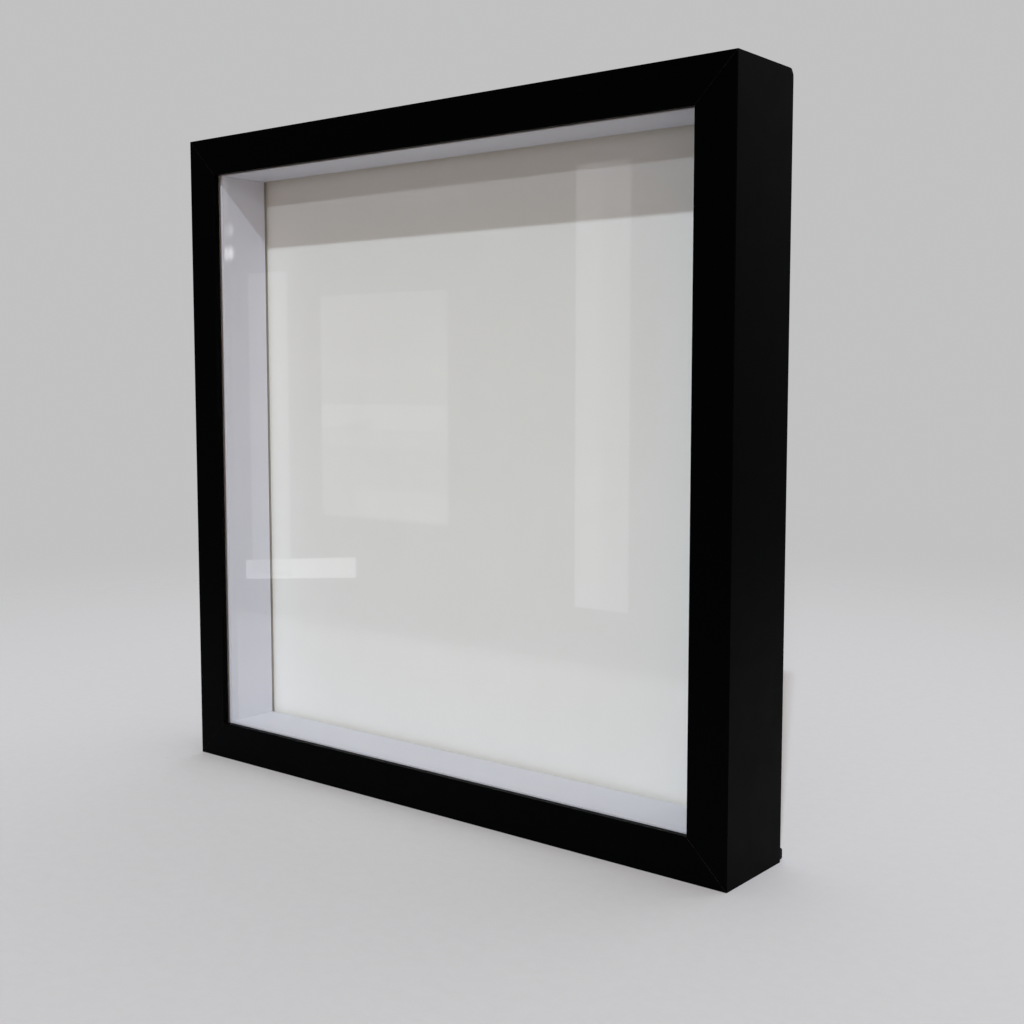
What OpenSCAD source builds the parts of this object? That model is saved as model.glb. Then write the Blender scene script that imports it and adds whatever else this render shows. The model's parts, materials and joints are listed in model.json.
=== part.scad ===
// A deep box frame that stands on a shelf or hangs on a wall.
// Four mitred mouldings hold, from the front: a glass pane behind the lip, four white
// spacers that line the sides, and a pack of card, foam board and a rigid back panel.
// Eight turn buttons keep the pack in, two ring hangers and two bumpers are on the rear.
// X runs from left to right, Y from the front face to the rear, Z up, in millimetres.
// The origin is the middle of the footprint, on the surface the box stands on.

/* [Frame] */
// Overall width of the frame
frame_w = 332; // [250:1:600]
// Overall height of the frame
frame_h = 332; // [250:1:600]
// Depth of the mouldings, from front face to rear face
frame_d = 45.5; // [34:0.5:90]
// Thickness of the moulding's wall, beside the rebate
wall_t = 13; // [12.5:0.5:25]
// Width of the rebate, which is how far the lip covers the glass
rebate_w = 6.2; // [4:0.1:12]
// Thickness of the lip in front of the glass
lip_t = 3.2; // [2:0.1:5]

/* [Glass and lining] */
// Thickness of the glass
glass_t = 2; // [1.5:0.1:4]
// Clearance between a sheet's edge and the rebate, on each side
sheet_clear = 0.5; // [0.2:0.1:1.5]
// Clearance between a spacer's back and the rebate
spacer_clear = 0.2; // [0.1:0.1:1.5]
// Gap left between the spacers' rear edges and the card
card_gap = 2.8; // [0.1:0.1:4]

/* [Backing pack] */
// Thickness of the white card at the back of the display space
card_t = 2; // [1:0.1:3]
// Thickness of the foam board behind the card
filler_t = 3; // [2:0.5:8]
// Thickness of the rigid back panel
back_t = 3; // [2:0.1:5]
// How far the back panel lies below the mouldings' rear faces
back_recess = 0.2; // [0.1:0.1:0.5]

/* [Turn buttons] */
// Reach of a turn button, from its screw to its tip
button_reach = 18; // [15:0.5:26]
// Width of a turn button round its screw
button_w = 8.5; // [7:0.5:11]
// Width of a turn button's tail
tail_w = 6.5; // [5:0.5:7]
// Thickness of a turn button
button_t = 0.9; // [0.6:0.1:1.2]
// Distance from a frame corner to the nearest button's screw
button_margin = 83; // [60:1:90]

/* [Screws and corner nails] */
// Diameter of a screw's shank
screw_d = 2.6; // [2:0.1:3.2]
// Diameter of a screw's head
screw_head_d = 5; // [4:0.1:6]
// Height of a screw's head
screw_head_h = 1.5; // [1:0.1:1.7]
// Depth that a screw bites into a moulding
screw_bite = 9; // [6:0.5:14]
// Length of each wing of a corner nail
nail_wing = 6; // [4:0.5:7]
// Height of a corner nail
nail_h = 10; // [6:0.5:14]
// Thickness of a corner nail's steel
nail_t = 0.6; // [0.4:0.1:0.8]

/* [Hangers] */
// Distance from the frame's top to a hanger ring's axis
hanger_drop = 122; // [118:1:130]
// Thickness of a hanger's strap
strap_t = 0.7; // [0.5:0.1:0.7]
// Width of a hanger's strap
strap_w = 7; // [6:0.1:7.4]
// Diameter of a hanger ring's wire
ring_wire_d = 1.6; // [1.2:0.1:1.6]

/* [Bumpers] */
// Width and height of a rear bumper
bumper_w = 5; // [4:0.5:9]
// Thickness of a rear bumper, the furthest thing behind the mouldings
bumper_t = 3.5; // [3.5:0.1:6]
// Distance from the frame's side to a bumper
bumper_inset = 0.8; // [0.1:0.1:3]
// Distance from the frame's underside to a bumper
bumper_rise = 0.2; // [0.1:0.1:3]

/* [Hidden] */

$fn = 64;
past = 1;               // how far a cut runs past the face that it opens
button_float = 0.2;     // running gap under a turn button, and between it and its screw's head
bore_clear = 0.05;      // radial running clearance of a hinge
ring_float = 0.3;       // gap between a folded ring and its strap

// Stations along Y, from the front face to the bumpers' rear faces.
front_y = -(frame_d + bumper_t) / 2;
rear_y = front_y + frame_d;
glass_y = front_y + lip_t;
spacer_y = glass_y + glass_t;
back_y = rear_y - back_recess - back_t;
filler_y = back_y - filler_t;
card_y = filler_y - card_t;
spacer_d = card_y - card_gap - spacer_y;

// Sizes across the frame.
face_w = wall_t + rebate_w;
sheet_w = frame_w - 2 * (wall_t + sheet_clear);
sheet_h = frame_h - 2 * (wall_t + sheet_clear);
spacer_t = rebate_w - spacer_clear;
side_spacer_len = frame_h - 2 * face_w;
tail_r = tail_w / 2;
lift_h = 1;             // height of the turned-up tip that a fingernail catches

// The four sides: bottom, top, left, right. Each is built as a bottom side, with its
// outer face on z = 0 and its inner side up, and then turned to its place.
BOTTOM = 0;
TOP = 1;
LEFT = 2;
RIGHT = 3;
side_len = [frame_w, frame_w, frame_h, frame_h];
side_turn = [0, 180, 90, -90];
side_pos = [
    [0, 0, 0],
    [0, 0, frame_h],
    [-frame_w / 2, 0, frame_h / 2],
    [frame_w / 2, 0, frame_h / 2]
];

// Ring hanger: the ring's bar turns in the strap's knuckle.
wire_r = ring_wire_d / 2;
knuckle_bore_r = wire_r + bore_clear;
knuckle_r = knuckle_bore_r + strap_t;
ring_y = strap_t + ring_float + wire_r; // the ring's axis, behind the moulding
ring_half_w = 5.2;      // from the ring's middle to the middle of its legs
ring_bend = 1.2;        // bend radius where the bar becomes a leg
ring_leg = 5.5;         // from the axis to the start of the round end
hanger_in = 0.8;        // how far a hanger stands inward of its wall's middle
strap_hole_drop = 5.5;  // from the axis to the strap's screw
strap_len = 13;         // from the axis to the strap's lower end

black_foil = [0.02, 0.02, 0.022];
white_board = [0.92, 0.92, 0.93];
zinc = [0.72, 0.73, 0.75];
hardboard = [0.45, 0.31, 0.2];

// Places what is built as a bottom side on one of the four sides.
module on_side(side) {
    translate(side_pos[side])
        rotate([0, side_turn[side], 0])
            children();
}

// Extrudes a flat outline, drawn in x and z, by t along +Y from y = 0.
module plate(t) {
    rotate([90, 0, 180])
        linear_extrude(height = t)
            children();
}

// Mirrors what is built for the lower left corner to all four corners.
module at_corners() {
    for (right = [0, 1])
        for (up = [0, 1])
            translate([(2 * right - 1) * frame_w / 2, 0, up * frame_h])
                mirror([right, 0, 0])
                    mirror([0, 0, up])
                        children();
}

// Places a child at both screws of one side's turn buttons.
module at_button(side, along) {
    on_side(side)
        translate([along * (side_len[side] / 2 - button_margin), rear_y, wall_t / 2])
            children();
}

// Places a child behind a side moulding, on its ring's axis height.
module at_hanger(dir) {
    translate([dir * ((frame_w - wall_t) / 2 - hanger_in), rear_y, frame_h - hanger_drop])
        children();
}

// Mitred moulding with an L section: a lip in front of the rebate, a wall behind it.
module rail(side) {
    color(black_foil)
        difference() {
            on_side(side)
                difference() {
                    translate([0, front_y, 0])
                        plate(frame_d)
                            mitred_outline(side_len[side]);
                    translate([-side_len[side] / 2, glass_y, wall_t])
                        cube([side_len[side], frame_d, rebate_w + past]);
                }
            at_corners()
                nail(nail_h + past);
            button_shanks(side);
            hanger_shanks();
        }
}

module mitred_outline(length) {
    half = length / 2;
    polygon([[-half, 0], [half, 0], [half - face_w, face_w], [face_w - half, face_w]]);
}

// V nail across a mitre, its point on the joint line and a wing in each moulding.
// The nail stands on the same floor as its slot, whatever height is asked for.
module nail(height) {
    apex = wall_t / 2 - nail_wing / 4;
    translate([apex, rear_y - nail_h, apex])
        mirror([1, 0, 0])
            plate(height) {
                square([nail_wing, nail_t]);
                square([nail_t, nail_wing]);
            }
}

module corner_nails() {
    color(zinc)
        at_corners()
            nail(nail_h);
}

module glass_pane() {
    color([0.8, 0.9, 0.88, 0.35])
        sheet(glass_y, glass_t);
}

// Rectangular sheet that drops into the rebate with a clearance on every side.
module sheet(y, t) {
    translate([-sheet_w / 2, y, (frame_h - sheet_h) / 2])
        cube([sheet_w, t, sheet_h]);
}

// Spacer strip whose face lines up with the lip's edge. The bottom and top strips run
// the full width, and the left and right strips stand between them.
module spacer(side, length) {
    color(white_board)
        on_side(side)
            translate([-length / 2, spacer_y, wall_t + spacer_clear])
                cube([length, spacer_d, spacer_t]);
}

module mount_card() {
    color(white_board)
        sheet(card_y, card_t);
}

module foam_board() {
    color(white_board)
        sheet(filler_y, filler_t);
}

module back_panel() {
    color(hardboard)
        sheet(back_y, back_t);
}

// Stamped turn button that lies across the moulding and the back panel.
module turn_button(side, along) {
    color(zinc)
        at_button(side, along)
            translate([0, button_float, 0])
                difference() {
                    union() {
                        plate(button_t)
                            button_outline();
                        translate([-tail_r / 2, 0, button_reach - button_t])
                            cube([tail_r, button_t + lift_h, button_t]);
                    }
                    translate([0, -past, 0])
                        plate(button_t + 2 * past)
                            circle(r = screw_d / 2 + bore_clear);
                }
}

module button_outline() {
    circle(d = button_w);
    translate([-tail_r, 0])
        square([tail_w, button_reach - tail_r]);
    translate([0, button_reach - tail_r])
        circle(r = tail_r);
}

// Round shank of a screw, from its point in the moulding up to its head.
module shank(grip) {
    translate([0, -screw_bite, 0])
        plate(screw_bite + grip)
            circle(d = screw_d);
}

// Pan-head screw with a cross recess. Its shank passes through a piece of this grip.
module screw(grip) {
    recess_l = screw_head_d * 0.55;
    recess_w = 0.6;
    recess_d = screw_head_h * 0.6;
    rim_h = screw_head_h * 0.4;
    shank(grip);
    translate([0, grip, 0])
        difference() {
            rotate([-90, 0, 0])
                union() {
                    cylinder(d = screw_head_d, h = rim_h);
                    translate([0, 0, rim_h])
                        cylinder(d1 = screw_head_d, d2 = screw_head_d * 0.7, h = screw_head_h - rim_h);
                }
            for (turn = [0, 90])
                rotate([0, turn, 0])
                    translate([-recess_l / 2, screw_head_h - recess_d, -recess_w / 2])
                        cube([recess_l, recess_d + past, recess_w]);
        }
}

module button_shanks(side) {
    for (along = [-1, 1])
        at_button(side, along)
            shank(past);
}

module hanger_shanks() {
    for (dir = [-1, 1])
        at_hanger(dir)
            translate([0, 0, -strap_hole_drop])
                shank(past);
}

module turn_button_screws() {
    color(zinc)
        for (side = [BOTTOM, TOP, LEFT, RIGHT])
            for (along = [-1, 1])
                at_button(side, along)
                    screw(2 * button_float + button_t);
}

module hanger_screws() {
    color(zinc)
        for (dir = [-1, 1])
            at_hanger(dir)
                translate([0, 0, -strap_hole_drop])
                    screw(strap_t);
}

// Strap with one screw hole and a knuckle at its top that the ring's bar turns in.
module hanger_strap(dir) {
    color(zinc)
        at_hanger(dir)
            difference() {
                union() {
                    plate(strap_t)
                        strap_outline();
                    translate([-strap_w / 2, 0, 0])
                        cube([strap_w, ring_y, knuckle_r]);
                    translate([-strap_w / 2, ring_y, 0])
                        rotate([0, 90, 0])
                            cylinder(r = knuckle_r, h = strap_w);
                }
                translate([-strap_w / 2 - past, ring_y, 0])
                    rotate([0, 90, 0])
                        cylinder(r = knuckle_bore_r, h = strap_w + 2 * past);
                translate([0, -past, -strap_hole_drop])
                    plate(strap_t + 2 * past)
                        circle(d = screw_d);
            }
}

module strap_outline() {
    translate([-strap_w / 2, strap_w / 2 - strap_len])
        square([strap_w, strap_len - strap_w / 2]);
    translate([0, strap_w / 2 - strap_len])
        circle(d = strap_w);
}

// Wire ring: a bar in the knuckle, two legs and a round end. It rests folded down.
module hanger_ring(dir) {
    bar_half = ring_half_w - ring_bend;
    color(zinc)
        at_hanger(dir)
            translate([0, ring_y, 0]) {
                translate([-bar_half, 0, 0])
                    rotate([0, 90, 0])
                        cylinder(r = wire_r, h = 2 * bar_half);
                for (leg = [0, 1])
                    mirror([leg, 0, 0]) {
                        translate([bar_half, 0, -ring_bend])
                            rotate([90, 0, 0])
                                rotate_extrude(angle = 90)
                                    translate([ring_bend, 0])
                                        circle(r = wire_r);
                        translate([ring_half_w, 0, -ring_leg])
                            cylinder(r = wire_r, h = ring_leg - ring_bend);
                    }
                translate([0, 0, -ring_leg])
                    rotate([-90, 0, 0])
                        rotate_extrude(angle = 180)
                            translate([ring_half_w, 0])
                                circle(r = wire_r);
            }
}

// Square soft bumper in a lower rear corner, with rounded corners.
module bumper(dir) {
    bumper_x = frame_w / 2 - bumper_inset - bumper_w / 2;
    color([0.03, 0.03, 0.03])
        translate([dir * bumper_x, rear_y, bumper_rise + bumper_w / 2])
            plate(bumper_t)
                rounded_square(bumper_w, bumper_w / 5);
}

module rounded_square(w, r) {
    translate([-w / 2, r - w / 2])
        square([w, w - 2 * r]);
    translate([r - w / 2, -w / 2])
        square([w - 2 * r, w]);
    for (x = [-1, 1])
        for (z = [-1, 1])
            translate([x * (w / 2 - r), z * (w / 2 - r)])
                circle(r = r);
}

rail(BOTTOM);  // rail_bottom
rail(TOP);  // rail_top
rail(LEFT);  // rail_left
rail(RIGHT);  // rail_right
corner_nails();
glass_pane();
spacer(BOTTOM, sheet_w);  // spacer_bottom
spacer(TOP, sheet_w);  // spacer_top
spacer(LEFT, side_spacer_len);  // spacer_left
spacer(RIGHT, side_spacer_len);  // spacer_right
mount_card();
foam_board();
back_panel();
turn_button(BOTTOM, -1);  // turn_button_1
turn_button(BOTTOM, 1);  // turn_button_2
turn_button(RIGHT, -1);  // turn_button_3
turn_button(RIGHT, 1);  // turn_button_4
turn_button(TOP, -1);  // turn_button_5
turn_button(TOP, 1);  // turn_button_6
turn_button(LEFT, -1);  // turn_button_7
turn_button(LEFT, 1);  // turn_button_8
turn_button_screws();
hanger_strap(-1);  // hanger_strap_left
hanger_strap(1);  // hanger_strap_right
hanger_ring(-1);  // hanger_ring_left
hanger_ring(1);  // hanger_ring_right
hanger_screws();
bumper(-1);  // bumper_left
bumper(1);  // bumper_right
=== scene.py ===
import json
import math

import bmesh
import bpy
from mathutils import Matrix, Vector


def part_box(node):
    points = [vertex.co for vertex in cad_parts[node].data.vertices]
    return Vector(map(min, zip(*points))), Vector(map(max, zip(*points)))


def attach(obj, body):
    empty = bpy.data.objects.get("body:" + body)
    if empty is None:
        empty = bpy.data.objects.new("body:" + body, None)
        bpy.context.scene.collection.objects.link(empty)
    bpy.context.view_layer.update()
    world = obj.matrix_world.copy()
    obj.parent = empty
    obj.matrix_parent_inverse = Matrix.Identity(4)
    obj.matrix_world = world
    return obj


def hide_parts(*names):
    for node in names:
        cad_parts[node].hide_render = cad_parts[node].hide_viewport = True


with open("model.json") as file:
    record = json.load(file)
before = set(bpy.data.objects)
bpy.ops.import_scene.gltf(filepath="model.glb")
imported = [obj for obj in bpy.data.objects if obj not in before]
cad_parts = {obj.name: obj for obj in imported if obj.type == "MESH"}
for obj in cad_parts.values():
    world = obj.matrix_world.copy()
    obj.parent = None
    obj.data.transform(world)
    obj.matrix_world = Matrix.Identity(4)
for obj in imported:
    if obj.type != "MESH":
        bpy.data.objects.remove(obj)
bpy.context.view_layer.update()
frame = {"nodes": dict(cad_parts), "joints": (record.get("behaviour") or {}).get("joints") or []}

MM = 0.001


# --- Camera ------------------------------------------------------------------------
# It stands to the right of the box, a little above its middle and close to it, so the
# near end looks much taller than the far end. It looks slightly down.

camera_data = bpy.data.cameras.new("camera")
camera_data.lens = 47.82
camera_data.sensor_width = 36
camera_data.shift_x, camera_data.shift_y = -0.0036, -0.0158
camera = bpy.data.objects.new("camera", camera_data)
bpy.context.scene.collection.objects.link(camera)
camera.matrix_world = (
    Matrix.Translation((0.4331, -0.4914, 0.2070))
    @ Matrix.Rotation(math.radians(38.84), 4, "Z")
    @ Matrix.Rotation(math.radians(85.01), 4, "X")
)
bpy.context.scene.camera = camera
bpy.context.scene.view_settings.view_transform = "Standard"


# --- Studio ------------------------------------------------------------------------
# A pale table top that fades into a pale surround, two small distant lamps that leave
# crisp shadows, and soft light all round: warm from the front, dim towards the front
# left and from behind, and brightest from high up behind the box.

def feed(tree, shader, feeds=(), **named):
    """Links a node's inputs to sockets, or sets them to values."""
    pairs = list(zip(shader.inputs, feeds))
    pairs += [(shader.inputs[name.replace("_", " ")], value)
              for name, value in named.items()]
    for socket, value in pairs:
        if isinstance(value, bpy.types.NodeSocket):
            tree.links.new(value, socket)
        elif value is not None:
            socket.default_value = value
    return shader


def add(tree, kind, *feeds, settings=(), **named):
    """Adds a shader node, with its inputs in order or by name."""
    made = tree.nodes.new("ShaderNode" + kind)
    for name, value in dict(settings).items():
        setattr(made, name, value)
    return feed(tree, made, feeds, **named)


def sum_of(tree, kind, *values):
    """One step of arithmetic on two numbers."""
    return add(tree, "Math", *values, settings={"operation": kind}).outputs[0]


def ranged(tree, value, low, high, start=0.0, end=1.0, smooth=False):
    """Brings a number from low..high to start..end."""
    kind = "SMOOTHSTEP" if smooth else "LINEAR"
    return add(tree, "MapRange", value, low, high, start, end,
               settings={"interpolation_type": kind}).outputs[0]


def blend_colours(tree, share, first, second):
    """A colour between first and second."""
    made = tree.nodes.new("ShaderNodeMix")
    made.data_type = "RGBA"
    for index, value in ((0, share), (6, first), (7, second)):
        if isinstance(value, bpy.types.NodeSocket):
            tree.links.new(value, made.inputs[index])
        else:
            made.inputs[index].default_value = value if index == 0 else (*value, 1)
    return made.outputs[2]


def grain(tree, size, detail=3.0, stretch=(1, 1, 1)):
    """Soft random blotches about as wide as size, in the piece's own metres."""
    place = add(tree, "TexCoord").outputs["Object"]
    place = add(tree, "Mapping", Vector=place, Scale=stretch).outputs[0]
    return add(tree, "TexNoise", Vector=place, Scale=1 / size, Detail=detail,
               Roughness=0.55).outputs[0]


def relief(tree, height, depth):
    """A bumpy normal: height runs from 0 to 1, depth is in metres."""
    return add(tree, "Bump", Strength=1.0, Distance=depth, Height=height).outputs[0]


def new_material(name):
    """A material with one Principled shader."""
    material = bpy.data.materials.new(name)
    material.use_nodes = True
    return material, material.node_tree, material.node_tree.nodes["Principled BSDF"]


SURROUND = 0.535        # how bright the empty studio looks
TABLE_FRONT, TABLE_FADE = -0.29, 0.08
TABLE_EDGE, TABLE_REACH = 0.25, 1.1    # where the table starts to fade, and ends

world = bpy.data.worlds.new("soft studio")
bpy.context.scene.world = world
world.use_nodes = True
sky = world.node_tree
towards = add(sky, "TexCoord").outputs["Generated"]
front_left = add(sky, "VectorMath", towards, (-0.70, -0.70, -0.10),
                 settings={"operation": "DOT_PRODUCT"}).outputs["Value"]
dimness = ranged(sky, front_left, 0.25, 0.85, smooth=True)
soft_light = blend_colours(sky, dimness, (0.580, 0.405, 0.282), (0.10, 0.10, 0.10))
rearward = add(sky, "SeparateXYZ", towards).outputs["Y"]
soft_light = blend_colours(sky, ranged(sky, rearward, -0.20, 0.25, smooth=True),
                           soft_light, (0.20, 0.21, 0.22))
high_behind = add(sky, "VectorMath", towards, (0.0, 0.60, 0.80),
                  settings={"operation": "DOT_PRODUCT"}).outputs["Value"]
soft_light = blend_colours(sky, ranged(sky, high_behind, 0.50, 0.95, smooth=True),
                           soft_light, (1.15, 1.13, 1.14))
lit = blend_colours(sky, add(sky, "LightPath").outputs["Is Camera Ray"],
                    soft_light, (SURROUND, SURROUND, SURROUND * 1.01))
feed(sky, sky.nodes["Background"], Color=lit, Strength=1.0)

LAMP_BEARING = 27       # degrees, seen from above
for name, strength, height, spread, tint in (
    ("main lamp", 1.52, 40.7, 1.6, (0.92, 1.0, 1.08)),
    ("low lamp", 0.46, 17.3, 2.0, (0.92, 1.0, 1.10)),
):
    lamp = bpy.data.lights.new(name, "SUN")
    lamp.energy, lamp.angle, lamp.color = strength, math.radians(spread), tint
    holder = bpy.data.objects.new(name, lamp)
    bpy.context.scene.collection.objects.link(holder)
    holder.matrix_world = (Matrix.Rotation(math.radians(LAMP_BEARING), 4, "Z")
                           @ Matrix.Rotation(math.radians(90 - height), 4, "X"))

table_material, tree, shader = new_material("white table top")
spot = add(tree, "SeparateXYZ", add(tree, "TexCoord").outputs["Object"])
front_gap = ranged(tree, spot.outputs["Y"], TABLE_FRONT - TABLE_FADE, TABLE_FRONT,
                   smooth=True)
away = add(tree, "VectorMath", add(tree, "TexCoord").outputs["Object"],
           settings={"operation": "LENGTH"}).outputs["Value"]
rim = ranged(tree, away, TABLE_EDGE, TABLE_REACH, 1.0, 0.0, smooth=True)
mottle = grain(tree, 6 * MM)
feed(tree, shader,
     Base_Color=blend_colours(tree, ranged(tree, mottle, 0.3, 0.7),
                              (0.618, 0.636, 0.656), (0.632, 0.650, 0.670)),
     Roughness=ranged(tree, grain(tree, 20 * MM), 0.3, 0.7, 0.75, 0.9),
     Normal=relief(tree, mottle, 0.15 * MM), Specular_IOR_Level=0.02)
clear = add(tree, "BsdfTransparent")
shown = add(tree, "MixShader", sum_of(tree, "MULTIPLY", front_gap, rim),
            clear.outputs[0], shader.outputs[0])
feed(tree, tree.nodes["Material Output"], Surface=shown.outputs[0])

shape = bmesh.new()
bmesh.ops.create_grid(shape, x_segments=4, y_segments=4, size=TABLE_REACH)
table_mesh = bpy.data.meshes.new("table top")
shape.to_mesh(table_mesh)
table_mesh.materials.append(table_material)
table = bpy.data.objects.new("table top", table_mesh)
bpy.context.scene.collection.objects.link(table)


# --- What the glass mirrors --------------------------------------------------------
# Pale cards far to the front left: the slats of a blind, a window post, a bright sill,
# a curtain and two bulbs. They are only seen mirrored, faintly and mostly in the pane,
# and they light nothing else.

CARD_Y = -3.0
REFLECTED = (
    # name, left x, right x, lowest z, highest z, slope of the card, brightness
    ("post", -2.105, -2.005, -0.52, 0.86, 0.0, 0.72),
    ("post side", -2.005, -1.900, -0.52, 0.86, 0.0, 0.58),
    ("blind", -3.26, -2.64, -0.30, 0.50, 0.0, 0.42),
    ("slat 1", -3.26, -2.64, 0.19, 0.27, 0.0, 0.72),
    ("slat 2", -3.26, -2.64, 0.02, 0.11, 0.0, 0.72),
    ("slat 3", -3.26, -2.64, -0.04, 0.015, 0.0, 0.85),
    ("slat 4", -3.09, -2.64, -0.29, -0.19, 0.0, 0.62),
    ("sill", -3.70, -3.09, -0.55, -0.475, 0.10, 1.15),
    ("far post", -3.66, -3.44, -0.55, 0.60, 0.0, 0.46),
    ("curtain", -3.835, -3.770, 0.730, 1.080, 0.0, 0.80),
    ("bulb", -3.822, -3.727, 0.640, 0.726, 0.0, 4.6),
    ("far bulb", -3.810, -3.725, 0.732, 0.812, 0.0, 1.7),
)
for name, left, right, low, high, slope, brightness in REFLECTED:
    glow, tree, shader = new_material(name)
    tree.nodes.remove(shader)
    if "bulb" in name:    # round, and fading outwards
        spot = add(tree, "VectorMath", add(tree, "TexCoord").outputs["Generated"],
                   (0.5, 0.5, 0.5), settings={"operation": "DISTANCE"}).outputs["Value"]
        brightness = ranged(tree, spot, 0.08, 0.48, brightness, 0.0, smooth=True)
    light = add(tree, "Emission", Color=(1, 1, 1.02, 1), Strength=brightness)
    feed(tree, tree.nodes["Material Output"], Surface=light.outputs[0])
    shape = bmesh.new()
    rise = slope * (right - left)
    corners = ((left, low - rise / 2), (right, low + rise / 2),
               (right, high + rise / 2), (left, high - rise / 2))
    shape.faces.new([shape.verts.new((x, CARD_Y, z)) for x, z in corners])
    card_mesh = bpy.data.meshes.new(name)
    shape.to_mesh(card_mesh)
    card_mesh.materials.append(glow)
    card = bpy.data.objects.new(name, card_mesh)
    bpy.context.scene.collection.objects.link(card)
    card.visible_camera = card.visible_diffuse = card.visible_shadow = False
    card.visible_transmission = False


# --- Four mitred mouldings ---------------------------------------------------------
# Fibreboard sticks cut to an L section: a lip in front, a wall behind it. Black satin
# foil is glued round the front, the outer side and the rear edge, then the ends are
# mitred. The back of the lip and the rebate stay raw board.

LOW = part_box("rail_left")[0]
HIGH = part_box("rail_right")[1]
WIDTH, HEIGHT = HIGH.x - LOW.x, HIGH.z
FRONT, REAR = LOW.y, HIGH.y
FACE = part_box("rail_bottom")[1].z
GLASS_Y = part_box("glass_pane")[0].y
WALL = 13.0 * MM
ARRIS = 0.35 * MM         # how round the foil's long edges are
LIP_ARRIS, WALL_ARRIS = 0.20 * MM, 0.25 * MM
FOIL_WRAP = 5.0 * MM      # how far the foil goes round onto the rear
MITRE_GAP = 0.01 * MM
MITRE_EDGE = 0.06 * MM
SMOOTH_UNDER = 0.2 * MM   # faces narrower than this belong to a rounded edge
FOIL, RAW = 0, 1

black_foil, tree, shader = new_material("black satin foil")
fine, broad = grain(tree, 0.5 * MM, 4), grain(tree, 14 * MM, 2)
shade = blend_colours(tree, ranged(tree, fine, 0.3, 0.7),
                      (0.0004, 0.0004, 0.0005), (0.0010, 0.0011, 0.0013))
# A painted highlight: a faint lighter line along each mitre, broken up in places.
spot = add(tree, "SeparateXYZ", add(tree, "TexCoord").outputs["Object"])
across = sum_of(tree, "SUBTRACT", WIDTH / 2, sum_of(tree, "ABSOLUTE", spot.outputs["X"]))
upward = sum_of(tree, "SUBTRACT", HEIGHT / 2, sum_of(
    tree, "ABSOLUTE", sum_of(tree, "SUBTRACT", spot.outputs["Z"], HEIGHT / 2)))
off_mitre = sum_of(tree, "ABSOLUTE", sum_of(tree, "SUBTRACT", across, upward))
cut = ranged(tree, off_mitre, 0.12 * MM, 0.30 * MM, 1.0, 0.0, smooth=True)
broken = ranged(tree, grain(tree, 5 * MM, 4), 0.35, 0.6)
cut = sum_of(tree, "MULTIPLY", cut, broken)
dents = sum_of(tree, "ADD", sum_of(tree, "MULTIPLY", fine, 0.7),
               sum_of(tree, "MULTIPLY", broad, 1.6))
# The base colour takes the painted mitre highlight.
feed(tree, shader, Base_Color=blend_colours(tree, cut, shade, (0.0055, 0.0055, 0.0055)),
     Roughness=sum_of(tree, "ADD", ranged(tree, broad, 0.3, 0.7, 0.30, 0.38),
                      ranged(tree, fine, 0.3, 0.7, 0.0, 0.10)),
     Normal=relief(tree, dents, 0.010 * MM), Specular_IOR_Level=0.018,
     Specular_Tint=(0.72, 0.88, 1.0, 1))

raw_board, tree, shader = new_material("raw fibreboard")
fibres, specks = grain(tree, 0.8 * MM, 6, (1, 0.35, 1)), grain(tree, 2.5 * MM, 5)
tone = blend_colours(tree, ranged(tree, specks, 0.3, 0.7),
                     (0.30, 0.20, 0.115), (0.42, 0.30, 0.185))
feed(tree, shader,
     Base_Color=blend_colours(tree, ranged(tree, fibres, 0.52, 0.72, 0.0, 0.55),
                              tone, (0.20, 0.125, 0.07)),
     Roughness=ranged(tree, fibres, 0.3, 0.7, 0.82, 0.97),
     Normal=relief(tree, fibres, 0.12 * MM), Specular_IOR_Level=0.2)


def rounded_outline(corners, steps=5):
    """A closed section. Each corner is (across, depth, radius, finish of its curve,
    finish of the face after it); every turn is a right angle. Gives (point, finish)."""
    outline = []
    for index, (across, depth, radius, curve_finish, face_finish) in enumerate(corners):
        here = Vector((across, depth))
        if not radius:
            outline.append((here, face_finish))
            continue
        before = Vector(corners[index - 1][:2])
        after = Vector(corners[(index + 1) % len(corners)][:2])
        come, go = (here - before).normalized(), (after - here).normalized()
        centre = here - come * radius + go * radius
        for step in range(steps + 1):
            turn = math.pi / 2 * step / steps
            point = centre + (come * math.sin(turn) - go * math.cos(turn)) * radius
            outline.append((point, face_finish if step == steps else curve_finish))
    return outline


def drawn_in(outline, amount):
    """The same outline moved inwards by amount."""
    moved = []
    for index, (here, finish) in enumerate(outline):
        before = outline[index - 1][0]
        after = outline[(index + 1) % len(outline)][0]
        come, go = (here - before).normalized(), (after - here).normalized()
        side = Vector((-come.y, come.x)) + Vector((-go.y, go.x))
        side = side.normalized() / max(0.5, (side.length / 2))
        moved.append((here + side * amount, finish))
    return moved


def finish_piece(name, shape, finishes, body, slot, *nodes):
    """Makes the shape a piece of the object, and hides the CAD nodes it stands for."""
    mesh = bpy.data.meshes.new(name)
    shape.to_mesh(mesh)
    shape.free()
    return adopt(name, mesh, finishes, body, slot, *nodes)


def adopt(name, mesh, finishes, body, slot, *nodes):
    """Makes a mesh that is already in its place a piece of the object."""
    for finish in finishes:
        mesh.materials.append(finish)
    piece = bpy.data.objects.new(name, mesh)
    bpy.context.scene.collection.objects.link(piece)
    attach(piece, body)
    if nodes:
        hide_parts(*nodes)
    return piece


def baked_down(holder):
    """The holder's mesh with its modifiers worked in; the holder is thrown away."""
    bpy.context.view_layer.update()
    ready = holder.evaluated_get(bpy.context.evaluated_depsgraph_get())
    mesh = bpy.data.meshes.new_from_object(ready)
    bpy.data.objects.remove(holder)
    return mesh


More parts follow.
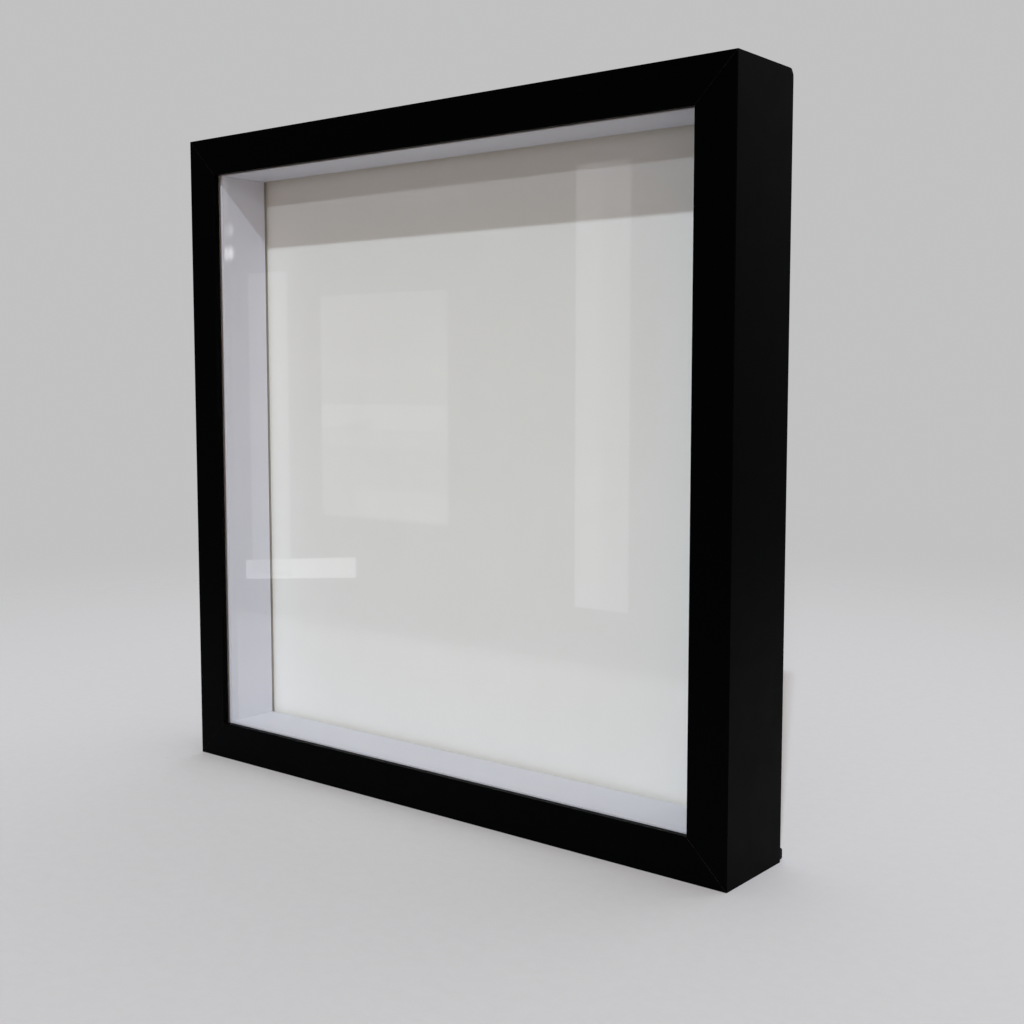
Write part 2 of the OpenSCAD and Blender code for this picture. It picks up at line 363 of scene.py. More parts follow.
def scratch_object(name, mesh):
    """An object that only lives while modifiers work on it."""
    holder = bpy.data.objects.new(name, mesh)
    bpy.context.scene.collection.objects.link(holder)
    return holder


def circle_points(centre, radius, sides):
    """Points (x, z) round a circle."""
    return [(centre[0] + radius * math.cos(math.tau * k / sides),
             centre[1] + radius * math.sin(math.tau * k / sides)) for k in range(sides)]


def prism(shape, outline, start, end):
    """Adds a closed prism that runs from front to rear over points (x, z)."""
    rims = [[shape.verts.new((x, depth, z)) for x, z in outline] for depth in (start, end)]
    for k in range(len(outline)):
        after = (k + 1) % len(outline)
        shape.faces.new((rims[0][k], rims[0][after], rims[1][after], rims[1][k]))
    shape.faces.new(rims[0][::-1])
    shape.faces.new(rims[1])


# Extra points this far from the rear corner give the knock something to bend.
NEAR, MIDDLE, FAR = 1.2 * MM, 2.4 * MM, 4.0 * MM
SECTION = rounded_outline((
    (0, FRONT, ARRIS, FOIL, FOIL),
    (FACE, FRONT, ARRIS, FOIL, FOIL),
    (FACE, GLASS_Y, LIP_ARRIS, FOIL, RAW),
    (WALL, GLASS_Y, 0, RAW, RAW),
    (WALL, REAR, WALL_ARRIS, RAW, RAW),
    (FOIL_WRAP, REAR, 0, FOIL, FOIL),
    (MIDDLE, REAR, 0, FOIL, FOIL),
    (NEAR, REAR, 0, FOIL, FOIL),
    (0, REAR, ARRIS, FOIL, FOIL),
    (0, REAR - NEAR, 0, FOIL, FOIL),
    (0, REAR - MIDDLE, 0, FOIL, FOIL),
    (0, REAR - FAR, 0, FOIL, FOIL),
))
LAY = {
    "bottom": (WIDTH, lambda along, depth, inward: (along, depth, inward)),
    "top": (WIDTH, lambda along, depth, inward: (-along, depth, HEIGHT - inward)),
    "left": (HEIGHT, lambda along, depth, inward: (
        inward - WIDTH / 2, depth, HEIGHT / 2 - along)),
    "right": (HEIGHT, lambda along, depth, inward: (
        WIDTH / 2 - inward, depth, HEIGHT / 2 + along)),
}
# (distance from the mitre, how far the section is drawn in there)
RINGS = [(MITRE_GAP, MITRE_EDGE), (MITRE_GAP + MITRE_EDGE, 0.0),
         (NEAR, 0.0), (MIDDLE, 0.0), (FAR, 0.0)]
KNOCKED = Vector((WIDTH / 2, REAR, HEIGHT))   # the one corner that has had a knock
KNOCK_REACH, KNOCK_DEPTH = 3.2 * MM, 0.9 * MM
KNOCK_WAY = Vector((-0.6, -0.5, -0.6)).normalized()

# Pilot holes for the screws and slots for the corner nails, all four sides at once.
PILOT_RADIUS, PILOT_DEPTH, HOLE_SIDES = 1.30 * MM, 9.1 * MM, 24
PAST = 1 * MM             # how far a cutter runs past the face that it opens
HANGER_SCREW_DROP = 5.5 * MM
pilots = bmesh.new()
SWIVELS = {joint["child"]: Vector(joint["pos_m"]) for joint in frame["joints"]}
BUTTONS = [f"turn_button_{number}" for number in range(1, 9)]
HANGER_SCREWS = [(SWIVELS[ring].x, SWIVELS[ring].z - HANGER_SCREW_DROP)
                 for ring in ("ring_left", "ring_right")]
for x, z in [(SWIVELS[name].x, SWIVELS[name].z) for name in BUTTONS] + HANGER_SCREWS:
    prism(pilots, circle_points((x, z), PILOT_RADIUS, HOLE_SIDES),
          REAR - PILOT_DEPTH, REAR + PAST)
NAIL_NEAR, NAIL_FAR, NAIL_THICK, NAIL_HIGH = 5.0 * MM, 11.0 * MM, 0.6 * MM, 10.0 * MM
NAIL_INNER = NAIL_NEAR + NAIL_THICK
NAIL = ((NAIL_NEAR, NAIL_NEAR), (NAIL_FAR, NAIL_NEAR), (NAIL_FAR, NAIL_INNER),
        (NAIL_INNER, NAIL_INNER), (NAIL_INNER, NAIL_FAR), (NAIL_NEAR, NAIL_FAR))
for x_side in (-1, 1):
    for upper in (False, True):
        prism(pilots, [(x_side * (WIDTH / 2 - x), HEIGHT - z if upper else z)
                       for x, z in NAIL], REAR - NAIL_HIGH, REAR + PAST)
bmesh.ops.recalc_face_normals(pilots, faces=pilots.faces)
pilot_mesh = bpy.data.meshes.new("pilots")
for face in pilots.faces:
    face.material_index = RAW
pilots.to_mesh(pilot_mesh)
pilots.free()
pilot_cutter = scratch_object("pilots", pilot_mesh)
pilot_cutter.hide_render = True

for side, (length, lay) in LAY.items():
    shape = bmesh.new()
    half = length / 2
    rings = []
    for end in (-1, 1):
        ends = []
        for back, inset in RINGS:
            outline = drawn_in(SECTION, inset) if inset else SECTION
            ends.append([Vector(lay(end * (half - point.x - back), point.y, point.x))
                         for point, _ in outline])
        rings += ends if end < 0 else ends[::-1]
    loops = []
    for ring in rings:
        loop = []
        for place in ring:
            near = (place - KNOCKED).length / KNOCK_REACH
            if near < 1:
                place = place + KNOCK_WAY * KNOCK_DEPTH * (1 - near) ** 2
            loop.append(shape.verts.new(place))
        loops.append(loop)
    count = len(SECTION)
    for first, second in zip(loops, loops[1:]):
        for k in range(count):
            after = (k + 1) % count
            face = shape.faces.new((first[k], first[after], second[after], second[k]))
            face.material_index = SECTION[k][1]
            face.smooth = (SECTION[k][0] - SECTION[after][0]).length < SMOOTH_UNDER
    for loop in (loops[0][::-1], loops[-1]):
        shape.faces.new(loop).material_index = RAW
    bmesh.ops.recalc_face_normals(shape, faces=shape.faces)
    blank = bpy.data.meshes.new("blank")
    shape.to_mesh(blank)
    shape.free()
    blank.materials.append(black_foil)
    blank.materials.append(raw_board)
    stick = scratch_object("stick", blank)
    drill = stick.modifiers.new("pilots", "BOOLEAN")
    drill.object, drill.operation, drill.solver = pilot_cutter, "DIFFERENCE", "EXACT"
    drill.material_mode = "INDEX"
    adopt(f"moulding_{side}", baked_down(stick), (), "frame", "black_foil", f"rail_{side}")
bpy.data.objects.remove(pilot_cutter)


# --- Corner nails ------------------------------------------------------------------
# Thin V-shaped strips of zinc-plated steel, pressed into the rear of each mitre until
# they are flush. They keep their CAD shape.

zinc, tree, shader = new_material("bright zinc plate")
cloud, brushed = grain(tree, 3.0 * MM, 3), grain(tree, 0.25 * MM, 2, (1, 1, 0.15))
feed(tree, shader, Metallic=1.0,
     Base_Color=blend_colours(tree, ranged(tree, cloud, 0.3, 0.7),
                              (0.50, 0.51, 0.53), (0.66, 0.67, 0.69)),
     Roughness=sum_of(tree, "ADD", ranged(tree, cloud, 0.3, 0.7, 0.22, 0.36),
                      ranged(tree, brushed, 0.3, 0.7, 0.0, 0.12)),
     Normal=relief(tree, brushed, 0.006 * MM))


def refinish(node, material):
    """Gives a CAD node that keeps its shape a better material."""
    for held in frame["nodes"][node].material_slots:
        held.material = material


refinish("corner_nails", zinc)


# --- Glass pane --------------------------------------------------------------------
# A 2 mm sheet of clear float glass that lies against the back of the lip. Its edges
# are ground, and a faint film of dust and wiping marks lies on it.

clear_glass = bpy.data.materials.new("clear float glass")
clear_glass.use_nodes = True
tree = clear_glass.node_tree
tree.nodes.remove(tree.nodes["Principled BSDF"])
smears = grain(tree, 30 * MM, 4, (1, 1, 0.35))
outside = add(tree, "NewGeometry").outputs["Backfacing"]
bend = ranged(tree, outside, 0.0, 1.0, 1.52, 1 / 1.52)
shine = add(tree, "Fresnel", IOR=bend).outputs[0]
mirror = add(tree, "BsdfGlossy", Color=(1, 1, 1, 1),
             Roughness=ranged(tree, smears, 0.35, 0.7, 0.006, 0.022))
through = add(tree, "BsdfTransparent", Color=(0.985, 0.993, 0.988, 1))
pane = add(tree, "MixShader", shine, through.outputs[0], mirror.outputs[0])
dust = add(tree, "BsdfDiffuse", Color=(0.8, 0.8, 0.8, 1), Roughness=1.0)
film = add(tree, "MixShader", ranged(tree, smears, 0.45, 0.75, 0.002, 0.012),
           pane.outputs[0], dust.outputs[0])
feed(tree, tree.nodes["Material Output"], Surface=film.outputs[0])


NARROW = 0.2              # faces smaller than this share of the largest are rounded edges


def soft_block(low, high, edge):
    """A block between two corners with lightly rounded edges."""
    shape = bmesh.new()
    for vert in bmesh.ops.create_cube(shape, size=1)["verts"]:
        vert.co = Vector(high[k] if vert.co[k] > 0 else low[k] for k in range(3))
    made = bmesh.ops.bevel(shape, geom=shape.edges[:], offset=edge, segments=2,
                           affect="EDGES", profile=0.5)
    for face in made["faces"]:
        largest = max(each.calc_area() for each in shape.faces)
        face.smooth = face.calc_area() < NARROW * largest
    return shape


def like_node(node, edge):
    """A block with rounded edges in a CAD node's box."""
    return soft_block(*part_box(node), edge)


finish_piece("glass", like_node("glass_pane", edge=0.25 * MM), [clear_glass],
             "frame", "glass", "glass_pane")


# --- White spacers -----------------------------------------------------------------
# Four strips of board with smooth white paper glued over the face and the front edge.
# They line the space behind the glass and hold it forward. The long ones lie at the
# bottom and the top, the other two stand between them, and all stop short of the card.

white_paper, tree, shader = new_material("smooth white facing")
tooth, broad = grain(tree, 0.35 * MM, 4), grain(tree, 25 * MM, 3)
feed(tree, shader,
     Base_Color=blend_colours(tree, ranged(tree, broad, 0.3, 0.7),
                              (0.664, 0.672, 0.748), (0.684, 0.692, 0.766)),
     Roughness=ranged(tree, tooth, 0.3, 0.7, 0.42, 0.55),
     Normal=relief(tree, tooth, 0.006 * MM), Specular_IOR_Level=0.4)

cut_board, tree, shader = new_material("cut edge of the strip")
fibres = grain(tree, 0.5 * MM, 5, (0.25, 1, 0.25))
feed(tree, shader,
     Base_Color=blend_colours(tree, ranged(tree, fibres, 0.3, 0.7),
                              (0.42, 0.40, 0.31), (0.60, 0.58, 0.48)),
     Roughness=ranged(tree, fibres, 0.3, 0.7, 0.8, 0.95),
     Normal=relief(tree, fibres, 0.08 * MM))

SQUARE_ON = 0.99          # a face whose normal reaches this share looks along that axis
for side in LAY:
    shape = like_node(f"spacer_{side}", edge=0.22 * MM)
    ends = 0 if side in ("bottom", "top") else 2
    for face in shape.faces:
        if face.normal.y > SQUARE_ON or abs(face.normal[ends]) > SQUARE_ON:
            face.material_index = 1
    finish_piece(f"lining_{side}", shape, [white_paper, cut_board],
                 "frame", "white_spacer", f"spacer_{side}")


# --- Mount card --------------------------------------------------------------------
# A sheet of matt white card, 2 mm thick, at the back of the display space. It lies on
# the foam board, a few millimetres behind the strips.

mount_card, tree, shader = new_material("matt white card")
tooth, broad = grain(tree, 0.45 * MM, 5), grain(tree, 60 * MM, 3)
feed(tree, shader,
     Base_Color=blend_colours(tree, ranged(tree, broad, 0.3, 0.7),
                              (0.862, 0.858, 0.850), (0.872, 0.868, 0.862)),
     Roughness=ranged(tree, tooth, 0.3, 0.7, 0.78, 0.92),
     Normal=relief(tree, tooth, 0.007 * MM), Specular_IOR_Level=0.25)
finish_piece("card", like_node("mount_card", edge=0.15 * MM), [mount_card],
             "frame", "white_card", "mount_card")


# --- Foam board --------------------------------------------------------------------
# A 3 mm board of white foam between two thin papers. It fills the pack and presses the
# card flat. The foam is set back a little where the knife has cut it.

foam, tree, shader = new_material("cut white foam")
cells = add(tree, "TexVoronoi", Vector=add(tree, "TexCoord").outputs["Object"],
            Scale=1 / (0.4 * MM)).outputs["Distance"]
feed(tree, shader,
     Base_Color=blend_colours(tree, ranged(tree, cells, 0.0, 0.6),
                              (0.86, 0.86, 0.85), (0.70, 0.70, 0.69)),
     Roughness=ranged(tree, cells, 0.0, 0.6, 0.7, 0.9),
     Normal=relief(tree, cells, 0.08 * MM))
low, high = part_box("foam_board")
shape = soft_block(low, high, edge=0.12 * MM)
SKIN, CUT_STEP, CUT_BACK = 0.4 * MM, 0.02 * MM, 0.15 * MM
for depth in (low.y + SKIN, high.y - SKIN):
    bmesh.ops.bisect_plane(shape, geom=shape.verts[:] + shape.edges[:] + shape.faces[:],
                           plane_co=(0, depth, 0), plane_no=(0, 1, 0))
edges_of_foam = [face for face in shape.faces
                 if low.y + SKIN * 0.99 < face.calc_center_median().y < high.y - SKIN * 0.99
                 and abs(face.normal.y) < 0.1]
bmesh.ops.inset_region(shape, faces=edges_of_foam, thickness=CUT_STEP,
                       depth=-CUT_BACK, use_even_offset=True, use_boundary=True)
for face in edges_of_foam:
    face.material_index = 1
finish_piece("foam_filler", shape, [mount_card, foam], "frame", "foam_board", "foam_board")


# --- Back panel --------------------------------------------------------------------
# A sheet of brown hardboard, smooth on the rear, sawn to size. It closes the pack and
# lies just below the rear faces of the mouldings.

hardboard, tree, shader = new_material("brown hardboard")
flecks, cloud = grain(tree, 1.2 * MM, 6), grain(tree, 45 * MM, 4)
tone = blend_colours(tree, ranged(tree, cloud, 0.3, 0.7),
                     (0.203, 0.117, 0.060), (0.230, 0.135, 0.071))
feed(tree, shader,
     Base_Color=blend_colours(tree, ranged(tree, flecks, 0.55, 0.78, 0.0, 0.8),
                              tone, (0.11, 0.058, 0.028)),
     Roughness=ranged(tree, flecks, 0.3, 0.7, 0.50, 0.68),
     Normal=relief(tree, flecks, 0.03 * MM), Specular_IOR_Level=0.35)
finish_piece("backing", like_node("back_panel", edge=0.25 * MM), [hardboard],
             "frame", "back_board", "back_panel")


# --- Turn buttons ------------------------------------------------------------------
# Eight buttons stamped from zinc-plated sheet, two on each side. Each has a round head
# with the screw hole, a rib pressed down its tail, and a tip turned up for a fingernail.

BUTTON_REACH, BUTTON_HEAD, BUTTON_TAIL = 18.0 * MM, 4.25 * MM, 3.25 * MM
BUTTON_THICK, BUTTON_HOLE, BUTTON_ROUND = 0.9 * MM, 1.35 * MM, 0.16 * MM
BUTTON_LIFT, BUTTON_FLOAT = 1.0 * MM, 0.2 * MM
BUTTON_MIDDLE = 7 * MM    # about how far a button's middle lies from its screw
RIB_FLAT, RIB_HALF, RIB_HIGH = 0.5 * MM, 1.5 * MM, 0.35 * MM
RIB_RISE, RIB_FALL = (5.0 * MM, 7.0 * MM), (12.5 * MM, 14.0 * MM)
TIP_RISE = (13.5 * MM, 18.0 * MM)
# Where the sheet has points between the hole's edge (0) and the outline (1).
ACROSS = (0.0, 0.15, 0.3, 0.45, 0.6, 0.72, 0.84, 0.93, 1.0)


def button_outline(steps=20):
    """Points round a button, from where its tail leaves the head, tail upwards."""
    shoulder = math.acos(BUTTON_TAIL / BUTTON_HEAD)
    points = [Vector((BUTTON_HEAD * math.cos(turn), BUTTON_HEAD * math.sin(turn)))
              for turn in [shoulder - (math.pi + 2 * shoulder) * k / (2 * steps)
                           for k in range(2 * steps + 1)]]
    tip = BUTTON_REACH - BUTTON_TAIL
    side = [points[0].y + (tip - points[0].y) * k / 8 for k in range(1, 8)]
    points += [Vector((-BUTTON_TAIL, high)) for high in side]
    points += [Vector((-BUTTON_TAIL * math.cos(math.pi * k / steps),
                       tip + BUTTON_TAIL * math.sin(math.pi * k / steps)))
               for k in range(steps + 1)]
    return points + [Vector((BUTTON_TAIL, high)) for high in side[::-1]]


def step_up(value, start, end):
    """0 before start, 1 after end, and a smooth rise between them."""
    share = min(1.0, max(0.0, (value - start) / (end - start)))
    return share * share * (3 - 2 * share)


def pressed(point):
    """How far the stamping pushes the sheet outwards at a point."""
    rib = (1 - step_up(abs(point.x), RIB_FLAT, RIB_HALF)) * RIB_HIGH
    rib *= step_up(point.y, *RIB_RISE) * (1 - step_up(point.y, *RIB_FALL))
    return rib + BUTTON_LIFT * step_up(point.y, *TIP_RISE)


OUTLINE = button_outline()
for name in BUTTONS:
    pivot = SWIVELS[name]
    low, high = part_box(name)
    reach = (low + high) / 2 - pivot
    inward = Vector((round(reach.x / BUTTON_MIDDLE), 0,
                     round(reach.z / BUTTON_MIDDLE))).normalized()
    sideways = Vector((inward.z, 0, -inward.x))
    base = REAR + BUTTON_FLOAT
    shape = bmesh.new()
    loops = []
    for index, rim in enumerate(OUTLINE):
        before, after = OUTLINE[index - 1], OUTLINE[(index + 1) % len(OUTLINE)]
        run = (after - before).normalized()
        out = Vector((run.y, -run.x))
        out = out if out.dot(rim) > 0 else -out
        hole = rim.normalized() * BUTTON_HOLE
        edge = rim - out * BUTTON_ROUND
        lip = hole + rim.normalized() * BUTTON_ROUND
        path = [(lip.lerp(edge, share), 1.0) for share in ACROSS]
        bulge = BUTTON_ROUND * (1 - math.cos(math.pi / 4))
        path += [(rim - out * bulge, 1 - bulge / BUTTON_THICK),
                 (rim, 1 - BUTTON_ROUND / BUTTON_THICK), (rim, BUTTON_ROUND / BUTTON_THICK),
                 (rim - out * bulge, bulge / BUTTON_THICK)]
        path += [(lip.lerp(edge, share), 0.0) for share in ACROSS[::-1]]
        path += [(hole, BUTTON_ROUND / BUTTON_THICK),
                 (hole, 1 - BUTTON_ROUND / BUTTON_THICK)]
        loop = []
        for spot, height in path:
            depth = base + height * BUTTON_THICK + pressed(spot)
            place = Vector((pivot.x, 0, pivot.z)) + inward * spot.y + sideways * spot.x
            loop.append(shape.verts.new((place.x, depth, place.z)))
        loops.append(loop)
    for index, loop in enumerate(loops):
        following = loops[(index + 1) % len(loops)]
        for k in range(len(loop)):
            after = (k + 1) % len(loop)
            face = shape.faces.new((loop[k], loop[after], following[after], following[k]))
            face.smooth = True
    bmesh.ops.recalc_face_normals(shape, faces=shape.faces)
    finish_piece(f"button_{name[-1]}", shape, [zinc], name, "zinc_steel", name)


# --- Screws ------------------------------------------------------------------------
# Ten small zinc-plated wood screws with a round head, a cross recess, a coarse thread
# and a point: eight hold the turn buttons and two hold the hangers. Each was driven
# until it was tight, so no two crosses point the same way.

def geometry_tree(name, inputs):
    """An empty Geometry Nodes tree with named inputs, and each input's identifier."""
    tree = bpy.data.node_groups.new(name, "GeometryNodeTree")
    tree.interface.new_socket("Geometry", in_out="OUTPUT", socket_type="NodeSocketGeometry")
    tree.interface.new_socket("Geometry", in_out="INPUT", socket_type="NodeSocketGeometry")
    known = {}
    for label, kind in inputs.items():
        known[label] = tree.interface.new_socket(
            label, in_out="INPUT", socket_type="NodeSocket" + kind).identifier
    return tree, known


def step(tree, kind, settings=(), **named):
    """Adds a Geometry Nodes node, with its inputs by name."""
    made = tree.nodes.new(kind)
    for name, value in dict(settings).items():
        setattr(made, name, value)
    for name, value in named.items():
        socket = made.inputs[name.replace("_", " ")]
        if isinstance(value, bpy.types.NodeSocket):
            tree.links.new(value, socket)
        else:
            socket.default_value = value
    return made


# The sizes that the tree takes; Grip is what the screw clamps, Bite what the board holds.
SCREW_SIZES = {"Head radius": 2.5 * MM, "Head height": 1.5 * MM, "Core radius": 0.95 * MM,
               "Thread radius": 1.28 * MM, "Grip": 1.3 * MM, "Bite": 9.0 * MM,
               "Recess length": 2.9 * MM, "Recess width": 0.6 * MM}
screw_tree, SCREW_INPUT = geometry_tree(
    "round-head wood screw",
    {**{label: "Float" for label in SCREW_SIZES}, "Seed": "Int", "Plating": "Material"})
tree = screw_tree
given = tree.nodes.new("NodeGroupInput").outputs


def geo_sum(tree, kind, first, second):
    """One step of arithmetic on two numbers in a Geometry Nodes tree."""
    made = tree.nodes.new("ShaderNodeMath")
    made.operation = kind
    feed(tree, made, (first, second))
    return made.outputs[0]


def geo_vector(tree, x=0.0, y=0.0, z=0.0):
    """A vector from three numbers in a Geometry Nodes tree."""
    made = tree.nodes.new("ShaderNodeCombineXYZ")
    feed(tree, made, (x, y, z))
    return made.outputs[0]


# The head is a dome cut flat underneath, less a cross.
dome = step(tree, "GeometryNodeMeshUVSphere", Segments=36, Rings=17, Radius=1.0)
dome = step(tree, "GeometryNodeTransform", Geometry=dome.outputs[0],
            Scale=geo_vector(tree, given["Head radius"], given["Head radius"],
                             given["Head height"]))
CUT_AWAY = 10 * MM        # height of the block that cuts the dome flat
under = step(tree, "GeometryNodeMeshCube", Size=(2 * CUT_AWAY, 2 * CUT_AWAY, CUT_AWAY))
under = step(tree, "GeometryNodeTransform", Geometry=under.outputs[0],
             Translation=(0, 0, -CUT_AWAY / 2))
RECESS_DEEP = 1.2         # length of the cutting bar, in head heights
SLOT_STEP = 0.03 * MM
recess_depth = geo_sum(tree, "MULTIPLY", given["Head height"], RECESS_DEEP)
slots = []
for long_x in (True, False):
    sides = (given["Recess length"], given["Recess width"])
    bar = step(tree, "GeometryNodeMeshCube",
               Size=geo_vector(tree, *(sides if long_x else sides[::-1]), recess_depth))
    # One slot of the cross is a hair shallower than the other, as a worn punch leaves it.
    level = geo_sum(tree, "ADD", given["Head height"], 0.0 if long_x else SLOT_STEP)
    slots.append(step(tree, "GeometryNodeTransform", Geometry=bar.outputs[0],
                      Translation=geo_vector(tree, z=level)))
head = tree.nodes.new("GeometryNodeMeshBoolean")
head.operation = "DIFFERENCE"
tree.links.new(dome.outputs[0], head.inputs["Mesh 1"])
for cutter in (under, *slots):
    tree.links.new(cutter.outputs[0], head.inputs["Mesh 2"])

# The shank is a straight core with a cone at its end and a thread wound round it.
shank_length = geo_sum(tree, "ADD", given["Grip"], given["Bite"])
POINT_LENGTH, POINT_TIP = 2.2 * MM, 0.05 * MM
CORE_SIDES, TURNS, UNTHREADED = 20, 6.0, 3.0 * MM
core_length = geo_sum(tree, "SUBTRACT", shank_length, POINT_LENGTH)
core = step(tree, "GeometryNodeMeshCylinder", Vertices=CORE_SIDES,
            Radius=given["Core radius"], Depth=core_length)
core = step(tree, "GeometryNodeTransform", Geometry=core.outputs[0],
            Translation=geo_vector(tree, z=geo_sum(tree, "MULTIPLY", core_length, -0.5)))
point = step(tree, "GeometryNodeMeshCone", Vertices=CORE_SIDES, Radius_Top=POINT_TIP,
             Radius_Bottom=given["Core radius"], Depth=POINT_LENGTH)
point = step(tree, "GeometryNodeTransform", Geometry=point.outputs[0],
             Rotation=(math.pi, 0, 0),
             Translation=geo_vector(tree, z=geo_sum(tree, "MULTIPLY", core_length, -1.0)))
winding = step(tree, "GeometryNodeCurveSpiral", Resolution=20, Rotations=TURNS,
               Start_Radius=given["Core radius"], End_Radius=given["Core radius"],
               Height=geo_sum(tree, "SUBTRACT", given["Bite"], UNTHREADED))
ridge = step(tree, "GeometryNodeCurvePrimitiveCircle", Resolution=3,
             Radius=geo_sum(tree, "SUBTRACT", given["Thread radius"], given["Core radius"]))
thread = step(tree, "GeometryNodeCurveToMesh", Curve=winding.outputs[0],
              Profile_Curve=ridge.outputs[0], Fill_Caps=True)
thread = step(tree, "GeometryNodeTransform", Geometry=thread.outputs[0],
              Translation=geo_vector(tree, z=geo_sum(tree, "MULTIPLY", core_length, -1.0)))
screw = tree.nodes.new("GeometryNodeJoinGeometry")
for part in (head, core, point, thread):
    tree.links.new(part.outputs[0], screw.inputs[0])

chance = step(tree, "FunctionNodeRandomValue", Seed=given["Seed"])
spin = geo_sum(tree, "MULTIPLY", chance.outputs[1], math.pi / 2)
placed = step(tree, "GeometryNodeInstanceOnPoints", Points=given["Geometry"],
              Instance=screw.outputs[0], Rotation=(-math.pi / 2, 0, 0))
turned = step(tree, "GeometryNodeRotateInstances", Instances=placed.outputs[0],
              Rotation=geo_vector(tree, z=spin), Local_Space=True)
real = step(tree, "GeometryNodeRealizeInstances", Geometry=turned.outputs[0])
plated = step(tree, "GeometryNodeSetMaterial", Geometry=real.outputs[0],
              Material=given["Plating"])
tree.links.new(plated.outputs[0], tree.nodes.new("NodeGroupOutput").inputs[0])


SCREW_CREASE = math.radians(35)


def drive_screws(name, seats, grip, seed, node):
    """Screws whose heads sit on these points, as one piece."""
    seat_mesh = bpy.data.meshes.new(name)
    seat_mesh.from_pydata(seats, [], [])
    holder = scratch_object(name, seat_mesh)
    driver = holder.modifiers.new("screws", "NODES")
    driver.node_group = screw_tree
    for label, size in {**SCREW_SIZES, "Grip": grip}.items():
        driver[SCREW_INPUT[label]] = size
    driver[SCREW_INPUT["Seed"]] = seed
    driver[SCREW_INPUT["Plating"]] = zinc
    mesh = baked_down(holder)
    shape = bmesh.new()
    shape.from_mesh(mesh)
    bmesh.ops.recalc_face_normals(shape, faces=shape.faces)
    shape.to_mesh(mesh)
    shape.free()
    mesh.materials.clear()
    for face in mesh.polygons:
        face.material_index, face.use_smooth = 0, True
    mesh.set_sharp_from_angle(angle=SCREW_CREASE)
    return adopt(name, mesh, [zinc], "frame", "zinc_steel", node)


BUTTON_GRIP = BUTTON_THICK + 2 * BUTTON_FLOAT
drive_screws("button_screws", [(SWIVELS[name].x, REAR + BUTTON_GRIP, SWIVELS[name].z)
                               for name in BUTTONS], BUTTON_GRIP, 7, "turn_button_screws")
STRAP_THICK = 0.7 * MM
drive_screws("strap_screws", [(x, REAR + STRAP_THICK, z) for x, z in HANGER_SCREWS],
             STRAP_THICK, 3, "hanger_screws")


# --- Hanger straps -----------------------------------------------------------------
# Two strips of zinc-plated sheet, one behind each upright. The lower end is rounded
# and screwed down, and the upper end is rolled into a loop for the ring.

STRAP_HALF, STRAP_DROP, STRAP_FLAT = 3.5 * MM, 13.0 * MM, 6.5 * MM
LOOP_RADIUS, LOOP_TURN = 1.2 * MM, math.radians(285)
STRAP_WORN, STRAP_NARROWEST, PUNCH_PAST = 0.10 * MM, 0.3 * MM, 0.4 * MM
STRAP_CREASE, STRAP_EDGE = math.radians(40), math.radians(50)
FOOT_STEPS, FLAT_STEPS, RISE_STEPS, LOOP_STEPS, STRAP_CELLS = 8, 5, 4, 20, 12


def strap_path(axis):
    """(depth, height) along the middle of the sheet, from the round end to the loop."""
    sheet = REAR + STRAP_THICK / 2
    foot = axis.z - STRAP_DROP
    path = [(sheet, foot + STRAP_HALF * (1 - math.cos(math.pi / 2 * k / FOOT_STEPS)))
            for k in range(1, FOOT_STEPS + 1)]
    path += [(sheet, foot + STRAP_HALF + STRAP_FLAT * k / FLAT_STEPS)
             for k in range(1, FLAT_STEPS + 1)]
    for k in range(1, RISE_STEPS + 1):
        share = step_up(k / RISE_STEPS, 0, 1)
        rise = (axis.z - foot - STRAP_HALF - STRAP_FLAT) * k / RISE_STEPS
        path.append((sheet + (axis.y - LOOP_RADIUS - sheet) * share,
                     foot + STRAP_HALF + STRAP_FLAT + rise))
    for k in range(1, LOOP_STEPS + 1):
        turn = LOOP_TURN * k / LOOP_STEPS
        path.append((axis.y - LOOP_RADIUS * math.cos(turn),
                     axis.z + LOOP_RADIUS * math.sin(turn)))
    return path


